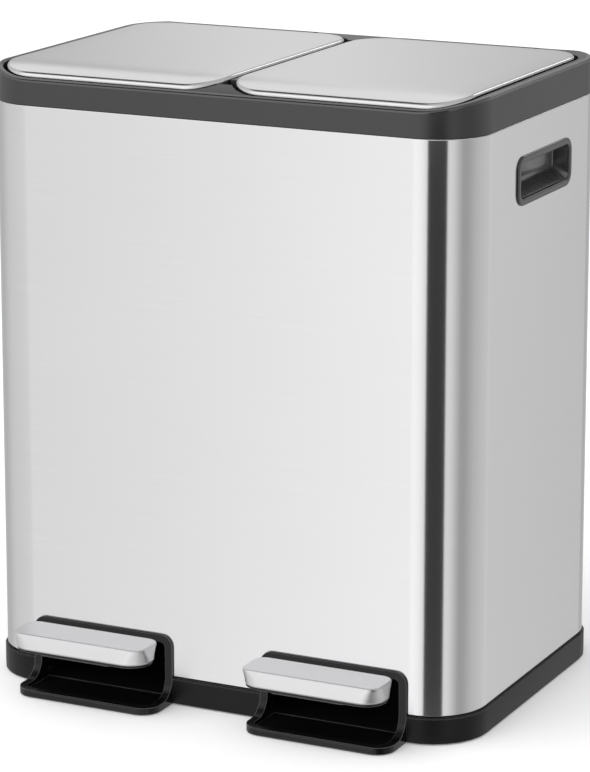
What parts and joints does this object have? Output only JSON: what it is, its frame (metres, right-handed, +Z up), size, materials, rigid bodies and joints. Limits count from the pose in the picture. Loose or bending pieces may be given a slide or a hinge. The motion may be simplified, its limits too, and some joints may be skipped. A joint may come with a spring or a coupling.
{
  "type": "double recycling bin",
  "caption": "Rectangular steel pedal bin with side by side hinged lids, matching pedals, lift-out inner buckets and recessed side handles.",
  "frame": {"origin": "middle of the footprint on the floor, pedals included", "axes": "+Z up, -Y towards the user and the pedals, +X to the user's right"},
  "size_m": [0.5386, 0.4272, 0.6384],
  "materials": {
    "body_steel": "brushed level around the body, clear lacquer",
    "lid_steel": "fine brushed, satin",
    "pedal_steel": "fine brushed, satin",
    "lever_steel": "zinc plated",
    "rim_plastic": "fine satin grain, dark grey",
    "liner_plastic": "fine satin grain, dark grey",
    "base_plastic": "satin, near black",
    "housing_plastic": "satin, black",
    "inner_plastic": "plain moulded",
    "bucket_plastic": "plain moulded, dark grey",
    "rubber": "matte"
  },
  "bodies": {
    "chassis": {"outer_shell": "body_steel", "top_rim": "rim_plastic", "base_tray": "base_plastic", "bucket_deck": "inner_plastic", "foot_1": "rubber", "foot_2": "rubber", "foot_3": "rubber", "foot_4": "rubber", "foot_5": "rubber", "foot_6": "rubber", "left_handle_cup": "housing_plastic", "left_pedal_housing": "housing_plastic", "left_pivot_pin": "lever_steel", "left_rod_cover": "inner_plastic", "left_hinge_pin": "lever_steel", "left_bumper_outer": "rubber", "left_bumper_inner": "rubber", "right_handle_cup": "housing_plastic", "right_pedal_housing": "housing_plastic", "right_pivot_pin": "lever_steel", "right_rod_cover": "inner_plastic", "right_hinge_pin": "lever_steel", "right_bumper_outer": "rubber", "right_bumper_inner": "rubber"},
    "left_lid": {"left_lid_cover": "lid_steel", "left_lid_liner": "liner_plastic", "left_lid_crank": "housing_plastic"},
    "left_pedal": {"left_pedal_lever": "lever_steel", "left_pedal_body": "housing_plastic", "left_pedal_cap": "pedal_steel"},
    "left_rod": {"left_lift_rod": "lever_steel", "left_rod_foot": "inner_plastic", "left_rod_fork": "inner_plastic"},
    "left_bucket": {"left_bucket": "bucket_plastic"},
    "right_lid": {"right_lid_cover": "lid_steel", "right_lid_liner": "liner_plastic", "right_lid_crank": "housing_plastic"},
    "right_pedal": {"right_pedal_lever": "lever_steel", "right_pedal_body": "housing_plastic", "right_pedal_cap": "pedal_steel"},
    "right_rod": {"right_lift_rod": "lever_steel", "right_rod_foot": "inner_plastic", "right_rod_fork": "inner_plastic"},
    "right_bucket": {"right_bucket": "bucket_plastic"}
  },
  "joints": [
    {"name": "left_lid_hinge", "type": "hinge", "parent": "chassis", "child": "left_lid", "pos_m": [-0.1325, 0.19437, 0.6318], "axis": [-1, 0, 0], "range_deg": [0, 85]},
    {"name": "left_pedal_hinge", "type": "hinge", "parent": "chassis", "child": "left_pedal", "pos_m": [-0.129, 0.02937, 0.038], "axis": [1, 0, 0], "range_deg": [0, 9.7]},
    {"name": "left_rod_slide", "type": "slide", "parent": "chassis", "child": "left_rod", "axis": [0, 0, 1], "range_m": [0, 0.0254]},
    {"name": "left_bucket_lift", "type": "slide", "parent": "chassis", "child": "left_bucket", "axis": [0, 0, 1], "range_m": [0, 0.012]},
    {"name": "right_lid_hinge", "type": "hinge", "parent": "chassis", "child": "right_lid", "pos_m": [0.1183, 0.19437, 0.6318], "axis": [-1, 0, 0], "range_deg": [0, 85]},
    {"name": "right_pedal_hinge", "type": "hinge", "parent": "chassis", "child": "right_pedal", "pos_m": [0.129, 0.02937, 0.038], "axis": [1, 0, 0], "range_deg": [0, 9.7]},
    {"name": "right_rod_slide", "type": "slide", "parent": "chassis", "child": "right_rod", "axis": [0, 0, 1], "range_m": [0, 0.0254]},
    {"name": "right_bucket_lift", "type": "slide", "parent": "chassis", "child": "right_bucket", "axis": [0, 0, 1], "range_m": [0, 0.012]}
  ],
  "couplings": [
    {"joint": "left_pedal_hinge", "follows": "left_lid_hinge", "ratio": 0.1141},
    {"joint": "left_rod_slide", "follows": "left_lid_hinge", "m_per_rad": 0.01712},
    {"joint": "right_pedal_hinge", "follows": "right_lid_hinge", "ratio": 0.1141},
    {"joint": "right_rod_slide", "follows": "right_lid_hinge", "m_per_rad": 0.01712}
  ]
}
